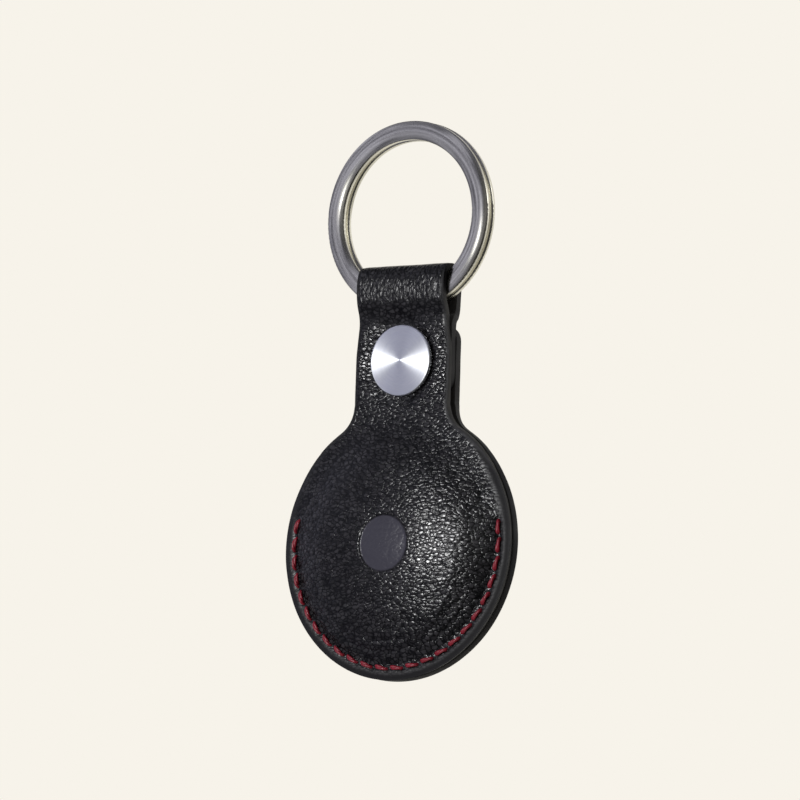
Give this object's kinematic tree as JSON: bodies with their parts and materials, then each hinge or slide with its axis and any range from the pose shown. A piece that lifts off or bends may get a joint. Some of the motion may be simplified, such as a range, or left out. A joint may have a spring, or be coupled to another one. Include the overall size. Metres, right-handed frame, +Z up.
{
  "type": "tracker tag holder",
  "caption": "Round stitched leather pouch for a coin-shaped tracker tag, with a snap-closed back flap and a neck strap folded over a flat split key ring.",
  "frame": {"origin": "hang point: the top of the key ring's inside, on the ring's middle plane", "axes": "+X to the right seen from the front, front faces -Y, +Z up along the strap"},
  "size_m": [0.042, 0.0108, 0.0876],
  "materials": {
    "pebbled_leather": "fine pebbled grain, semi-matte, black",
    "lining": "short-napped microfibre",
    "thread": "twisted waxed thread, red",
    "ring_steel": "brushed faces, polished edges",
    "snap_metal": "spun face",
    "spring_steel": "drawn wire",
    "tag_plastic": "gloss white",
    "tag_lid": "polished steel",
    "tray_plastic": "moulded black",
    "board": "green solder mask",
    "cell_steel": "plated can",
    "speaker": "plated magnet"
  },
  "bodies": {
    "key_ring": {"key_ring": "ring_steel"},
    "strap_loop": {"strap_loop": "pebbled_leather"},
    "pouch": {"front_panel": "pebbled_leather", "strap_tail": "pebbled_leather", "front_lining": "lining", "back_panel": "pebbled_leather", "back_lining": "lining", "front_stitches": "thread", "back_stitches": "thread", "snap_cap": "snap_metal", "snap_socket": "snap_metal", "snap_spring": "spring_steel", "tag_front_cover": "tag_plastic", "tag_back_case": "tag_plastic", "tag_battery_cover": "tag_lid", "tag_battery": "cell_steel", "tag_tray": "tray_plastic", "tag_circuit_board": "board", "tag_speaker": "speaker"},
    "back_flap": {"back_flap": "pebbled_leather", "flap_lining": "lining", "snap_stud": "snap_metal", "snap_post": "snap_metal"}
  },
  "joints": [
    {"name": "ring_turn", "type": "hinge", "parent": "key_ring", "child": "strap_loop", "pos_m": [0, 0, -0.012], "axis": [0, 1, 0], "continuous": true},
    {"name": "pouch_swing", "type": "hinge", "parent": "strap_loop", "child": "pouch", "pos_m": [0, -0.0004, -0.02855], "axis": [1, 0, 0], "range_deg": [-45, 45], "deforming": ["strap_loop"]},
    {"name": "flap_open", "type": "hinge", "parent": "pouch", "child": "back_flap", "pos_m": [0, 0.0055, -0.05749], "axis": [-1, 0, 0], "range_deg": [0, 50], "stiffness_Nm_per_rad": 0.01, "deforming": ["snap_spring"]}
  ]
}
